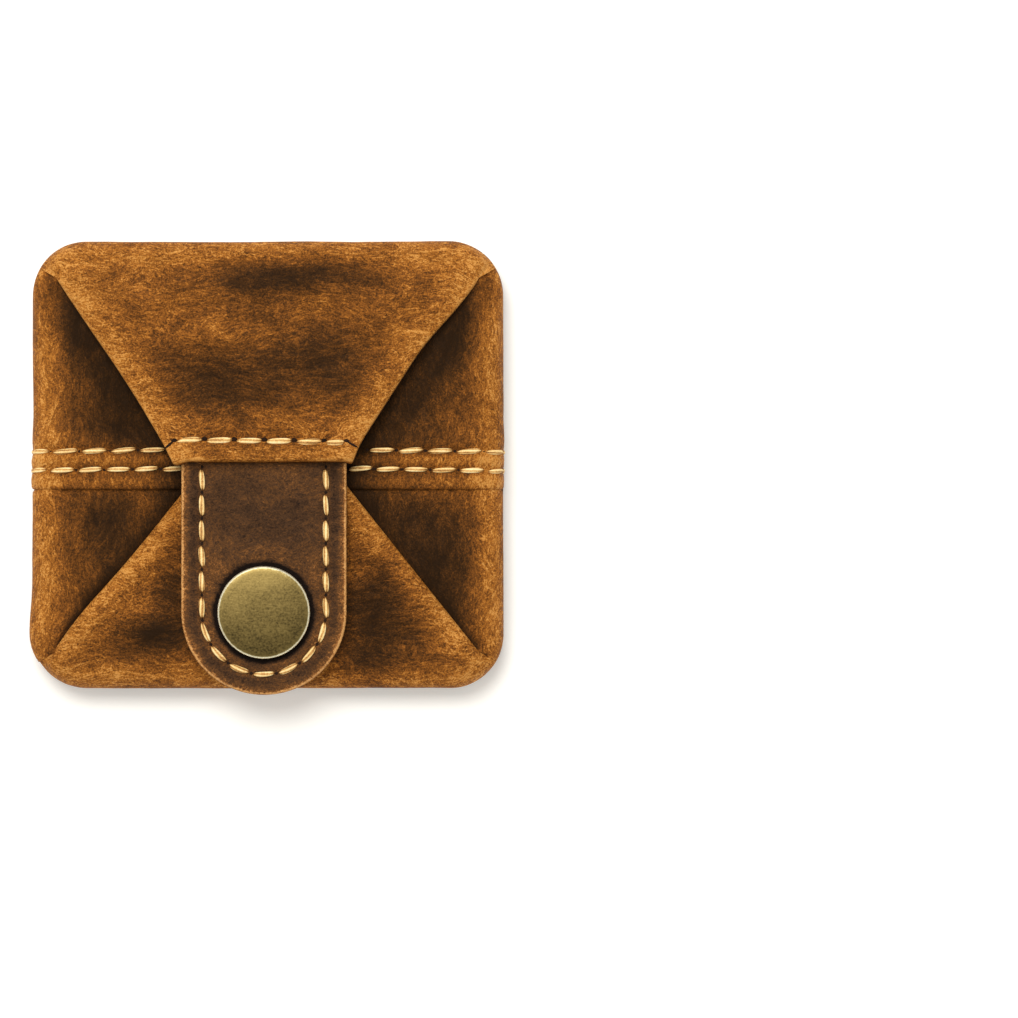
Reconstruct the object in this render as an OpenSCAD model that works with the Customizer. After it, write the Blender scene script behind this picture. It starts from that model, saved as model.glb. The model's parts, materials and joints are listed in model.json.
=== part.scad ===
// Leather coin purse that folds shut from an open tray, with a snap tab.
// Modelled shut: four folded walls cross a shallow tray, and the flap's tab snaps to the front panel.
// +X is to the right, +Y towards the flap's fold, +Z up, origin at the centre of the underside.

/* [Body] */
// Width across the side folds
body_w = 80; // [78:0.5:82]
// Depth from the front fold to the flap's fold
body_d = 76; // [75:0.5:78]
// Corner radius seen from above
corner_r = 8.5; // [7:0.5:9]
// Height of the hinge line where the walls fold over
fold_z = 8.9; // [8.9:0.1:10]
// Height of the standing edge of the tray
tray_h = 7.4; // [7:0.1:7.4]

/* [Leather] */
// Thickness of the outer hide
hide_t = 1.1; // [0.9:0.05:1.1]
// Thickness of the lining
lining_t = 0.7; // [0.5:0.05:0.7]
// Thickness of the hide under the base
sole_t = 1.2; // [1:0.1:1.2]
// Gap between neighbouring pieces along a fold
fold_gap = 0.3; // [0.2:0.05:0.4]

/* [Flap and panels] */
// Distance of the flap's hem behind the centre line
hem_y = 0.4; // [0.3:0.1:0.8]
// Half width of the flap at its hem
hem_half = 15.6; // [15:0.1:16]
// Half width of the front panel where its folds run under the tab
front_fold_x = 14.5; // [14.2:0.1:14.8]
// Place of the front panel's rim, under the tab
front_rim_y = -0.4; // [-0.6:0.1:-0.2]
// Half of the gap between the side walls' rims, where they lie under the flap
side_rim_x = 2.4; // [2:0.1:3]
// Rise of the flap from its fold to its hem, as an angle
flap_tilt = 7.6; // [7.6:0.1:8.5]
// Place of the skived lap edge on the side panels
lap_front_y = -4.2; // [-4.4:0.1:-4]
// Place of the buried edge of the same lap
lap_rear_y = 4; // [3.8:0.1:4.2]

/* [Tab] */
// Width of the tab
tab_w = 28; // [27:0.5:29]
// Sideways offset of the tab and snap
tab_x = -0.5; // [-0.6:0.1:0]
// Distance of the round end's centre in front of the centre line
tab_end_y = -25; // [-25.5:0.5:-24]
// Underside of the tab
tab_z = 11.2; // [11.2:0.1:11.4]
// Thickness of the tab's hide
tab_hide_t = 1; // [0.9:0.05:1]
// Thickness of the tab's lining
tab_lining_t = 0.6; // [0.5:0.05:0.6]
// Length of the sewn end under the flap
tab_root_len = 7; // [6:0.5:7]

/* [Snap] */
// Diameter of the brass cap
cap_d = 15.7; // [15:0.1:16]
// Height of the cap above the tab
cap_h = 1.9; // [1.6:0.1:2]
// Outside diameter of the socket
socket_d = 12.5; // [12:0.1:13]
// Mouth diameter of the socket
mouth_d = 8.6; // [8.4:0.1:8.8]
// Diameter of the stud
stud_d = 6.1; // [6:0.05:6.2]

/* [Stitching] */
// Thread diameter
thread_d = 0.7; // [0.5:0.05:0.8]
// Stitch pitch along the seams
pitch = 4.7; // [4.4:0.1:5]
// Distance of the tab's stitching from its edge
tab_inset = 3.5; // [3:0.1:3.6]

/* [Hidden] */
$fn = 64;

hide_colour = [0.55, 0.33, 0.15];
dark_hide_colour = [0.36, 0.21, 0.12];
lining_colour = [0.30, 0.17, 0.09];
thread_colour = [0.88, 0.70, 0.46];
brass_colour = [0.55, 0.50, 0.34];
steel_colour = [0.70, 0.69, 0.66];

half_w = body_w / 2;
half_d = body_d / 2;
wall_t = hide_t + lining_t;
// Distance of each hinge line inside the outline
fold_in = 1.1;
// How far a folded plate reaches past its hinge line
fold_lap = 1;
hinge_x = half_w - fold_in;
hinge_y = half_d - fold_in;
// Underside of the folded panels, and the level between lining and hide
panel_z = fold_z - wall_t / 2;
panel_mid_z = panel_z + lining_t;
panel_top_z = panel_z + wall_t;
// Underside of the gussets, one layer below the panels
gusset_t = 1.6;
gusset_hide_t = 0.9;
gusset_z = panel_z - 0.2 - gusset_t;
// Length of the flap along its own slope
flap_len = (hinge_y - hem_y) / cos(flap_tilt);
// Where the diagonal folds leave the round corners, as angles from +X, and the front ones pass the tab
front_corner_angle = 36;
back_corner_angle = 40;
front_fold_y = -5.1;
front_corner = [half_w - corner_r * (1 - cos(front_corner_angle)),
                corner_r * (1 - sin(front_corner_angle)) - half_d];
back_corner = [half_w - corner_r * (1 - cos(back_corner_angle)),
               half_d - corner_r * (1 - sin(back_corner_angle))];
front_slope = (front_fold_y - front_corner[1]) / (front_corner[0] - front_fold_x);
back_slope = (back_corner[1] - hem_y) / (back_corner[0] - hem_half);
// Point where the two diagonals of one side meet
tip_x = (front_corner[1] - back_corner[1] + front_slope * front_corner[0] + back_slope * back_corner[0])
    / (front_slope + back_slope);
tip_y = front_corner[1] + front_slope * (front_corner[0] - tip_x);
tab_top_z = tab_z + tab_lining_t + tab_hide_t;
tab_start_y = -1.5;
// Small clearance that keeps touching pieces apart
hair = 0.02;
big = 200;

// The outline seen from above, pulled in by a margin.
module outline(margin) {
    r = corner_r - margin;
    hull() for (sx = [-1, 1], sy = [-1, 1])
        translate([sx * (half_w - corner_r), sy * (half_d - corner_r)]) circle(r);
}

module slab(z, t) {
    translate([0, 0, z]) linear_extrude(t) children();
}

// Plan of the wedge in front of the front diagonals, narrowed by a gap.
module front_wedge(gap) {
    far = front_corner + big * [1, -front_slope];
    polygon([[gap - far[0], far[1]], [gap - tip_x, tip_y], [gap + 1 - tip_x, front_rim_y],
             [tip_x - 1 - gap, front_rim_y], [tip_x - gap, tip_y], [far[0] - gap, far[1]]]);
}

// Plan of the wedge behind the rear diagonals, cut off at the hem.
module flap_wedge(gap) {
    far = back_corner + big * [1, back_slope];
    polygon([[gap - hem_half, hem_y], [hem_half - gap, hem_y], [far[0] - gap, far[1]], [gap - far[0], far[1]]]);
}

// Plan of the right-hand wedge between the diagonals.
module side_wedge(gap) {
    front_far = front_corner + big * [1, -front_slope];
    back_far = back_corner + big * [1, back_slope];
    polygon([[tip_x + gap, tip_y], [front_far[0] + gap, front_far[1]], [back_far[0] + gap, back_far[1]]]);
}

module front_plan() {
    intersection() {
        outline(0.1);
        front_wedge(0);
        translate([-half_w, -hinge_y - fold_lap]) square([body_w, body_d]);
    }
}

module side_plan() {
    intersection() {
        outline(0.1);
        side_wedge(fold_gap);
        translate([-half_w, -half_d]) square([half_w + hinge_x + fold_lap, body_d]);
    }
}

// The flap lies in its own frame: origin on its hinge line, running towards -Y.
module flap_frame() {
    translate([0, hinge_y, fold_z]) rotate([-flap_tilt, 0, 0]) children();
}

module flap_plan() {
    intersection() {
        translate([0, -hinge_y]) outline(0.1);
        scale_to_slope() translate([0, -hinge_y]) flap_wedge(fold_gap);
        translate([-half_w, -body_d + fold_lap]) square([body_w, body_d]);
    }
}

module scale_to_slope() {
    multmatrix([[1, 0, 0, 0], [0, 1 / cos(flap_tilt), 0, 0], [0, 0, 1, 0]]) children();
}

// A gusset sheet stays inside the standing edge and clear of the hinge line.
module inside_tray() {
    intersection() {
        outline(sole_t + lining_t + 0.2);
        children();
    }
}

module front_gusset_plan(sy) {
    for (sx = [-1, 1]) scale([sx, 1]) inside_tray() intersection() {
        side_wedge(fold_gap);
        translate([0, sy > 0 ? hem_y + 0.4 : -half_d]) square([half_w, half_d - 0.5]);
    }
}

module side_gusset_plan() {
    inside_tray() difference() {
        translate([side_rim_x, -half_d]) square([half_w, body_d]);
        side_wedge(-fold_gap);
    }
}

module right_handed(sx) {
    scale([sx, 1]) children();
}

module bottom_tray(z, t, edge, inset) {
    slab(z, t) outline(inset);
    slab(z + t, tray_h - z - t) difference() {
        outline(inset);
        outline(inset + edge);
    }
}

module base_outer() {
    color(hide_colour) bottom_tray(0, sole_t, sole_t, 0);
}

module base_lining() {
    color(lining_colour) bottom_tray(sole_t, lining_t, lining_t, sole_t);
}

module snap_hole(z, h, d) {
    translate([tab_x, tab_end_y, z]) cylinder(h = h, d = d);
}

module front_panel_outer() {
    color(hide_colour) difference() {
        slab(panel_mid_z, hide_t) front_plan();
        snap_hole(panel_mid_z - 1, 3, 3.1);
        snap_hole(panel_top_z - 0.5, 1, 10.1);
    }
}

module front_panel_lining() {
    color(lining_colour) difference() {
        slab(panel_z, lining_t) front_plan();
        snap_hole(panel_z - 1, 3, 3.1);
        snap_hole(panel_z - 1, 1.35, 9.1);
    }
}

module flap_outer() {
    color(hide_colour) flap_frame() slab(lining_t - wall_t / 2, hide_t) flap_plan();
}

module flap_lining() {
    color(lining_colour) flap_frame() slab(-wall_t / 2, lining_t) flap_plan();
}

// The rear piece laps over the front piece, each thinned to half where they cross.
module panel_front(sx) {
    color(hide_colour) {
        slab(panel_mid_z, hide_t) right_handed(sx) intersection() {
            side_plan();
            translate([-big, -big]) square([2 * big, big + lap_front_y - 0.1]);
        }
        slab(panel_mid_z, hide_t / 2 - hair) right_handed(sx) intersection() {
            side_plan();
            translate([-big, lap_front_y - 0.1]) square([2 * big, lap_rear_y - lap_front_y]);
        }
    }
}

module panel_rear(sx) {
    color(hide_colour) {
        slab(panel_mid_z, hide_t) right_handed(sx) intersection() {
            side_plan();
            translate([-big, lap_rear_y]) square([2 * big, big]);
        }
        slab(panel_mid_z + hide_t / 2, hide_t / 2) right_handed(sx) intersection() {
            side_plan();
            translate([-big, lap_front_y]) square([2 * big, lap_rear_y - lap_front_y]);
        }
    }
}

module panel_lining(sx) {
    color(lining_colour) slab(panel_z, lining_t) right_handed(sx) side_plan();
}

module gusset_hide() {
    color(hide_colour) slab(gusset_z + gusset_t - gusset_hide_t, gusset_hide_t) children();
}

module gusset_lining() {
    color(lining_colour) slab(gusset_z, gusset_t - gusset_hide_t) children();
}

module left_panel_front() panel_front(-1);
module left_panel_rear() panel_rear(-1);
module left_panel_lining() panel_lining(-1);
module right_panel_front() panel_front(1);
module right_panel_rear() panel_rear(1);
module right_panel_lining() panel_lining(1);
module front_gussets_outer() gusset_hide() front_gusset_plan(-1);
module front_gussets_lining() gusset_lining() front_gusset_plan(-1);
module back_gussets_outer() gusset_hide() front_gusset_plan(1);
module back_gussets_lining() gusset_lining() front_gusset_plan(1);
module left_gusset_outer() gusset_hide() right_handed(-1) side_gusset_plan();
module left_gusset_lining() gusset_lining() right_handed(-1) side_gusset_plan();
module right_gusset_outer() gusset_hide() side_gusset_plan();
module right_gusset_lining() gusset_lining() side_gusset_plan();

// The tab's sewn end lies against the underside of the flap, just inside the hem.
module tab_root() {
    t = tab_lining_t + tab_hide_t;
    color(dark_hide_colour) flap_frame()
        translate([tab_x - tab_w / 2, -flap_len - 0.8, -wall_t / 2 - t - hair]) cube([tab_w, tab_root_len, t]);
}

module tab_plan() {
    translate([tab_x, 0]) {
        translate([-tab_w / 2, tab_end_y]) square([tab_w, tab_start_y - tab_end_y]);
        translate([0, tab_end_y]) circle(d = tab_w);
    }
}

module tab_outer() {
    color(dark_hide_colour) difference() {
        slab(tab_z + tab_lining_t, tab_hide_t) tab_plan();
        snap_hole(tab_z - 1, 4, 3.8);
    }
}

module tab_lining() {
    color(lining_colour) difference() {
        slab(tab_z, tab_lining_t) tab_plan();
        snap_hole(tab_z - 1, 4, 3.8);
    }
}

// Domed brass cap with its barrel, which passes through the tab and the socket's web.
module snap_cap() {
    r = cap_d / 2;
    crown = 0.6;
    crown_r = (r * r + crown * crown) / (2 * crown);
    color(brass_colour) translate([tab_x, tab_end_y, tab_top_z + hair]) {
        cylinder(h = cap_h - crown, r = r);
        translate([0, 0, cap_h - crown]) intersection() {
            translate([0, 0, crown - crown_r]) sphere(crown_r, $fn = 128);
            cylinder(h = crown, r = r);
        }
        translate([0, 0, -hair - tab_top_z + tab_z - 0.3]) cylinder(h = tab_top_z - tab_z + 0.4, d = 3.6);
    }
}

module snap_socket() {
    h = tab_z - panel_top_z - 0.15 - hair;
    web = 0.3;
    color(steel_colour) translate([tab_x, tab_end_y, tab_z - h - hair]) difference() {
        cylinder(h = h, d = socket_d);
        translate([0, 0, -1]) cylinder(h = h - web + 1, d = mouth_d);
        cylinder(h = h + 1, d = 3.7);
    }
}

module snap_spring() {
    color(steel_colour) translate([tab_x, tab_end_y, panel_top_z + 0.4]) difference() {
        cylinder(h = 0.5, d = mouth_d - 0.1);
        translate([0, 0, -1]) cylinder(h = 3, d = stud_d + 0.2);
    }
}

// The stud's flange sits flush in the front panel and its barrel runs down to the rivet.
module snap_stud() {
    color(steel_colour) translate([tab_x, tab_end_y, 0]) {
        translate([0, 0, panel_top_z - 0.5]) cylinder(h = 0.5, d = 10);
        translate([0, 0, panel_top_z - 0.1]) cylinder(h = 1, d = stud_d);
        translate([0, 0, panel_z + 0.36]) cylinder(h = wall_t - 0.5, d = 3);
    }
}

module snap_rivet() {
    color(steel_colour) translate([tab_x, tab_end_y, panel_z + 0.05]) cylinder(h = 0.3, d = 9);
}

// One straight run of stitches along X, lying on the surface at height z.
module stitch_row(x_from, x_to, y, z) {
    count = round((x_to - x_from) / pitch);
    visible = pitch * 0.75;
    for (i = [0 : count - 1])
        translate([x_from + (i + 0.5) * (x_to - x_from) / count - visible / 2, y, z + thread_d / 2 + hair])
            rotate([0, 90, 0]) cylinder(h = visible, d = thread_d, $fn = 16);
}

module hem_stitching() {
    color(thread_colour) flap_frame()
        stitch_row(-hem_half, hem_half, -flap_len + 3.6, wall_t / 2);
}

module seam_stitching(sx) {
    color(thread_colour) scale([sx, 1, 1]) for (y = [2.55, -0.8])
        stitch_row(hem_half + 1.6, half_w - 0.4, y, panel_top_z);
}

module left_seam_stitching() seam_stitching(-1);
module right_seam_stitching() seam_stitching(1);

// Stitches down both sides of the tab and round its end.
module tab_stitching() {
    r = tab_w / 2 - tab_inset;
    straight = tab_start_y - tab_end_y - 1;
    side_count = floor(straight / 4.45);
    arc_count = floor(PI * r / 4.45);
    visible = 3.1;
    z = tab_top_z + thread_d / 2 + hair;
    color(thread_colour) translate([tab_x, tab_end_y, z]) {
        for (sx = [-1, 1], i = [0 : side_count - 1])
            translate([sx * r, (i + 0.5) * straight / side_count + visible / 2, 0])
                rotate([90, 0, 0]) cylinder(h = visible, d = thread_d, $fn = 16);
        for (i = [0 : arc_count - 1])
            rotate([0, 0, -180 + (i + 0.5) * 180 / arc_count]) translate([r, visible / 2, 0])
                rotate([90, 0, 0]) cylinder(h = visible, d = thread_d, $fn = 16);
    }
}

base_outer();
base_lining();
front_panel_outer();
front_panel_lining();
flap_outer();
flap_lining();
left_panel_front();
left_panel_rear();
left_panel_lining();
right_panel_front();
right_panel_rear();
right_panel_lining();
front_gussets_outer();
front_gussets_lining();
back_gussets_outer();
back_gussets_lining();
left_gusset_outer();
left_gusset_lining();
right_gusset_outer();
right_gusset_lining();
tab_root();
tab_outer();
tab_lining();
snap_cap();
snap_socket();
snap_spring();
snap_stud();
snap_rivet();
hem_stitching();
left_seam_stitching();
right_seam_stitching();
tab_stitching();
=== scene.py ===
import json
from math import atan, cos, hypot, pi, radians, sin, sqrt

import bpy
import numpy as np
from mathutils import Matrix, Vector, noise


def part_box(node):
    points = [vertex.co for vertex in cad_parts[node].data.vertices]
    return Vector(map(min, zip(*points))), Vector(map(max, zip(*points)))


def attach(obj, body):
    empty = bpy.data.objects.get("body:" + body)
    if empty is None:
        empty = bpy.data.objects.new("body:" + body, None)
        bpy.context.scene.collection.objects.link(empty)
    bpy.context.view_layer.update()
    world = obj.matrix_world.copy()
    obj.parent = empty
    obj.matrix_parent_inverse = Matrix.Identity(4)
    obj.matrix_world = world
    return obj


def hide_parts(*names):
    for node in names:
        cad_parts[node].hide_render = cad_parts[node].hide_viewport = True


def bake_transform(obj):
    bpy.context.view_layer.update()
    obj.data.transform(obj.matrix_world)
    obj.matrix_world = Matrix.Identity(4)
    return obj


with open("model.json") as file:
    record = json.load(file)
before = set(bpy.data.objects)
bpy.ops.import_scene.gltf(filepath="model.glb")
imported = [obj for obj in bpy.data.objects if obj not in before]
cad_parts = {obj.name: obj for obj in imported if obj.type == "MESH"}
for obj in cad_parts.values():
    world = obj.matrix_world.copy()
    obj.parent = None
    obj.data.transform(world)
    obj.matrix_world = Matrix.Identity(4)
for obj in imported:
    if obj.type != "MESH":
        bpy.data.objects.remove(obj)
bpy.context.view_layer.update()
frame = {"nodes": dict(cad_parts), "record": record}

MM = 0.001
UP = np.array([0, 0, 1.0])

# -------- sizes, in millimetres, from the frame

def node_box(name):
    low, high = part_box(name)
    return np.array(low) / MM, np.array(high) / MM


joints = {j["name"]: j for j in frame["record"]["behaviour"]["joints"]}
base_low, base_high = node_box("base_outer")
HALF_W = (base_high[0] - base_low[0]) / 2
HALF_D = (base_high[1] - base_low[1]) / 2
TOP = node_box("front_panel_outer")[1][2]
HINGE_IN = HALF_D - joints["purse_open"]["pos_m"][1] / MM
HINGE_Z = joints["purse_open"]["pos_m"][2] / MM
GUSSET_HINGE_IN = HALF_D - joints["back_gussets_open"]["pos_m"][1] / MM
GUSSET_HINGE_Z = joints["back_gussets_open"]["pos_m"][2] / MM
TAB_LOW, TAB_HIGH = node_box("tab_outer")
TAB_X = (TAB_LOW[0] + TAB_HIGH[0]) / 2
TAB_HALF = (TAB_HIGH[0] - TAB_LOW[0]) / 2
TAB_END_Y = TAB_LOW[1] + TAB_HALF
TAB_TOP = TAB_HIGH[2]
HEM_Y = 0.55  # the flap's edge
FRONT_RIM_Y = -0.4
FLAP_SLOPE = 0.132

CORNER_R = 9.2
SHOULDER = 3.3  # radius of the fold from wall to panel
HIDE_T = 1.1
LINING_T = 0.7
RIM_T = 1.9  # the hide is folded over at the rims, in a band this wide:
RIM_BAND = 4.5
LONG_SIDES, SHORT_SIDES = ("front", "back"), ("left", "right")
SPLIT = dict.fromkeys(LONG_SIDES, radians(60)) | dict.fromkeys(SHORT_SIDES, radians(30))  # of a round corner
HALF = dict.fromkeys(LONG_SIDES, HALF_W) | dict.fromkeys(SHORT_SIDES, HALF_D)
FLIPPED = ("back", "left")
CUT = {"front": 1.256, "back": 1.564}  # slopes of the diagonal folds
CUT_START_X = HALF_W - CORNER_R + (CORNER_R - SHOULDER) * cos(radians(30))
CUT_START_Y = HALF_D - CORNER_R + (CORNER_R - SHOULDER) * sin(radians(30))
SIDE_TIP_X = 12.8
LAP_Y = -4.2  # a side panel's rear piece ends here and its front piece runs on beneath it to:
LAP_UNDER_Y = -1.2
SEAM_ROWS = (2.15, -1.05)
SEAM_SLOPE = 0.016
SEAM_PITCH = 4.7
HEM_STITCH_Y = HEM_Y + 3.55
HEM_PITCH = 5.05
TAB_INSET = 3.5
TAB_PITCH = 4.4
TAB_BACK_Y = 6.0
TAB_HIDE_T = 1.0
TAB_LINING_T = 0.6
SKIN_GAP = 0.02
CAP_EDGE = 8.0  # distance from the snap's axis at which its cap presses the tab
GUSSET_IN = 0.7
GUSSET_HIDE_T = 0.7
GUSSET_LINING_T = 0.5
RIM_FOLD_T = 0.7
CORNER_LAP = 0.3  # a side gusset runs this far past its corner, and this far outside its neighbour:
CORNER_STEP = 0.08
CORNER_RISE = 0.8  # a gusset starts this far above the outline in a round corner
RIM_Z = HINGE_Z + HALF_D + FRONT_RIM_Y - HINGE_IN  # rim of the opened purse
RIM_STITCH_IN = 3.7
RIM_PITCH = 3.1
FAR = 1e3


def smooth(x, low, high):
    """A soft step from 0 at low to 1 at high."""
    t = np.clip((np.asarray(x, float) - low) / (high - low), 0, 1)
    return t * t * (3 - 2 * t)


def bump(x, width):
    return np.exp(-((np.asarray(x, float) / width) ** 2))


def roll(e, radius):
    """How far a surface drops at distance e from a rounded edge."""
    e = np.clip(e, 0, radius)
    return radius - np.sqrt(np.maximum(radius**2 - (radius - e) ** 2, 0))


def ripple(points, size, seed):
    """Smooth noise from -1 to 1 over an array of points, with features about size across."""
    offset = Vector((seed * 13.1, seed * 7.7, seed * 3.3))
    values = [noise.noise(Vector(p) + offset) for p in np.asarray(points, float).reshape(-1, 3) / size]
    return np.array(values).reshape(np.shape(points)[:-1])


# -------- the shut purse's surface

def to_plan(side, u, a):
    """u runs along a wall and a inwards from its outer face."""
    if side == "front":
        return u, a - HALF_D
    if side == "back":
        return u, HALF_D - a
    if side == "right":
        return HALF_W - a, u
    return a - HALF_W, u


def heading(side, u, a):
    """The same for a direction."""
    (x, y), (from_x, from_y) = to_plan(side, u, a), to_plan(side, 0, 0)
    return x - from_x, y - from_y


def inward(side, x, y):
    """Distance inside a wall's outer face."""
    return {"front": y + HALF_D, "back": HALF_D - y, "right": HALF_W - x, "left": x + HALF_W}[side]


def perimeter(side, p):
    """Place and inward normal along a wall's outline, round half of each corner."""
    flat = HALF[side] - CORNER_R
    turn = np.maximum(np.abs(p) - flat, 0) / CORNER_R
    sign = np.sign(p)
    u = sign * (np.minimum(np.abs(p), flat) + CORNER_R * np.sin(turn))
    return u, CORNER_R * (1 - np.cos(turn)), -sign * np.sin(turn), np.cos(turn)


def half_length(side):
    return HALF[side] - CORNER_R + CORNER_R * SPLIT[side]


def arc_drop(offset):
    """How far a round corner falls back from a straight wall, short of where it would turn vertical."""
    k = np.clip(offset, 0, CORNER_R * 0.97)
    return CORNER_R - np.sqrt(CORNER_R**2 - k**2)


def corner_drop(x, y):
    """How far the top sinks towards the round corners."""
    return 0.5 * (arc_drop(np.abs(x) - HALF_W + CORNER_R) + arc_drop(np.abs(y) - HALF_D + CORNER_R))


def flap_rise(a):
    """The flap slopes up from its fold, starting softly."""
    over = a - SHOULDER
    return FLAP_SLOPE * 0.5 * (over + np.sqrt(over**2 + 16)) - 0.12


def base_top(side, x, y):
    z = TOP - corner_drop(x, y)
    if side == "back":
        z = z + flap_rise(inward("back", x, y))
    return z


def front_cut_x(y, x=1.0):
    """Half width of the front panel, which spreads a little more near its left corner."""
    spread = np.where(np.asarray(x) < 0, 0.9 * bump(y + 26, 7), 0)
    return CUT_START_X - (y + CUT_START_Y) / CUT["front"] + spread


def flap_hollow(y, x):
    """How far the flap's edges run inside a straight line, the right one more than the left."""
    along = CUT_START_Y - y
    right = 2.2 * smooth(along, 1, 14) - 0.8 * smooth(along, 27, 33)
    return np.where(np.asarray(x) > 0, right, 0.75 * bump(y - 13, 12))


def back_cut_x(y, x=-1.0):
    return CUT_START_X - (CUT_START_Y - y) / CUT["back"] - flap_hollow(y, x)


def from_folds(x, y):
    """Distances from the front and back diagonal folds, negative on the side panel."""
    return [(half - np.abs(x)) * CUT[side] / hypot(1, CUT[side])
            for side, half in (("front", front_cut_x(y, x)), ("back", back_cut_x(y, x)))]


def away_from_corner(x, y):
    """0 at the round corners and 1 once a fold has opened."""
    d = np.hypot(np.abs(x) - CUT_START_X, np.abs(y) - CUT_START_Y)
    return smooth(d, -0.8, 1.6)


# -------- where the stitches go

def profile(side, u, q):
    """Point and outward normal on a straight stretch of wall. q is 0 at the start of the shoulder."""
    quarter = SHOULDER * pi / 2
    a = max(q - quarter, 0) + SHOULDER
    if q < quarter:
        alpha = max(q, 0) / SHOULDER
        a = SHOULDER * (1 - cos(alpha))
    else:
        alpha = pi / 2
    x, y = to_plan(side, u, a)
    top = base_top(side, *to_plan(side, u, max(a, SHOULDER)))
    z = top - SHOULDER + SHOULDER * sin(alpha) + min(q, 0)
    out = heading(side, 0, -1)
    n = np.array([out[0] * cos(alpha), out[1] * cos(alpha), sin(alpha)])
    return np.array([x, y, z]), n


def evenly(start, end, pitch):
    count = max(1, round(abs(end - start) / pitch))
    return np.linspace(start, end, count + 1)


def seam_row(side, row):
    """A row down a side seam, as a path and the places of its needle holes along it."""
    last = SHOULDER * (pi / 2 - 1) + (26.6 if row < 0 else 23.0)  # beneath the tab or the flap
    return lambda q: profile(side, row + SEAM_SLOPE * max(q, 0), q), evenly(-SEAM_PITCH, last, SEAM_PITCH)


def hem_row():
    tilt = atan(FLAP_SLOPE)
    normal = np.array([0, -sin(tilt), cos(tilt)])

    def path(x):
        y = HEM_STITCH_Y - 0.12 - 0.013 * x - 0.4 * smooth(abs(x), 13.5, 16.5)
        return np.array([x, y, float(base_top("back", x, y))]), normal
    return path, np.append(evenly(-15.6, 9.7, HEM_PITCH), 13.5)


def tab_row():
    """Down the left side of the tab, round its end and up the right side."""
    r = TAB_HALF - TAB_INSET
    start_y = -0.4
    side = start_y - TAB_END_Y
    length = 2 * side + pi * r

    def path(s):
        if s < side:
            x, y = -r, start_y - s
        elif s > length - side:
            x, y = r, TAB_END_Y + s - length + side
        else:
            t = pi + (s - side) / r
            x, y = r * cos(t), TAB_END_Y + r * sin(t)
        return np.array([x + TAB_X, y, float(tab_height(y))]), UP
    return path, evenly(0, length, TAB_PITCH)


def tab_inside_row():
    """The same row where it comes out on the tab's lining."""
    path, marks = tab_row()
    below = UP * (TAB_HIDE_T + TAB_LINING_T + SKIN_GAP)
    return lambda s: (path(s)[0] - below, -UP), marks


def gusset_rim_rows(side):
    """Fine rows inside a gusset, just below the opened purse's rim."""
    deep = GUSSET_HIDE_T + RIM_FOLD_T
    laid_a = GUSSET_HINGE_IN + RIM_Z - RIM_STITCH_IN - GUSSET_HINGE_Z

    def path(p):
        u, a, nu, na = perimeter(side, p)
        x, y = to_plan(side, u + nu * deep, laid_a)
        z = GUSSET_HINGE_Z - a - GUSSET_IN + GUSSET_HINGE_IN - na * deep
        return np.array([x, y, z]), np.array([*heading(side, nu, 0), -na])
    end = half_length(side)
    if side in SHORT_SIDES:
        return [(path, evenly(-end, end, RIM_PITCH))]
    start = CUT_START_X - (CUT_START_Y + FRONT_RIM_Y - RIM_STITCH_IN) / CUT[side] + 1.0
    return [(path, evenly(start, end, RIM_PITCH)), (path, evenly(-end, -start, RIM_PITCH))]


def front_rim_row():
    """The same fine row inside the front panel."""
    y = FRONT_RIM_Y - RIM_STITCH_IN
    half = front_cut_x(y) - 1.0
    return lambda x: (np.array([x, y, TOP - RIM_T]), -UP), evenly(-half, half, RIM_PITCH)


def holes_of(*rows):
    return [path(q) for path, marks in rows for q in marks]


HOLES = {side: holes_of(*[seam_row(side, row) for row in SEAM_ROWS]) for side in SHORT_SIDES}
HOLES.update(back=holes_of(hem_row()), front=[])


def hole_pull(points, holes, depth, size):
    """The dimple that each needle hole leaves."""
    pull = np.zeros(points.shape[:-1])
    for at, _ in holes:
        d2 = ((points - at) ** 2).sum(-1)
        pull = np.maximum(pull, depth * np.exp(-d2 / size**2))
    return pull


# -------- relief of each panel

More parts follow.
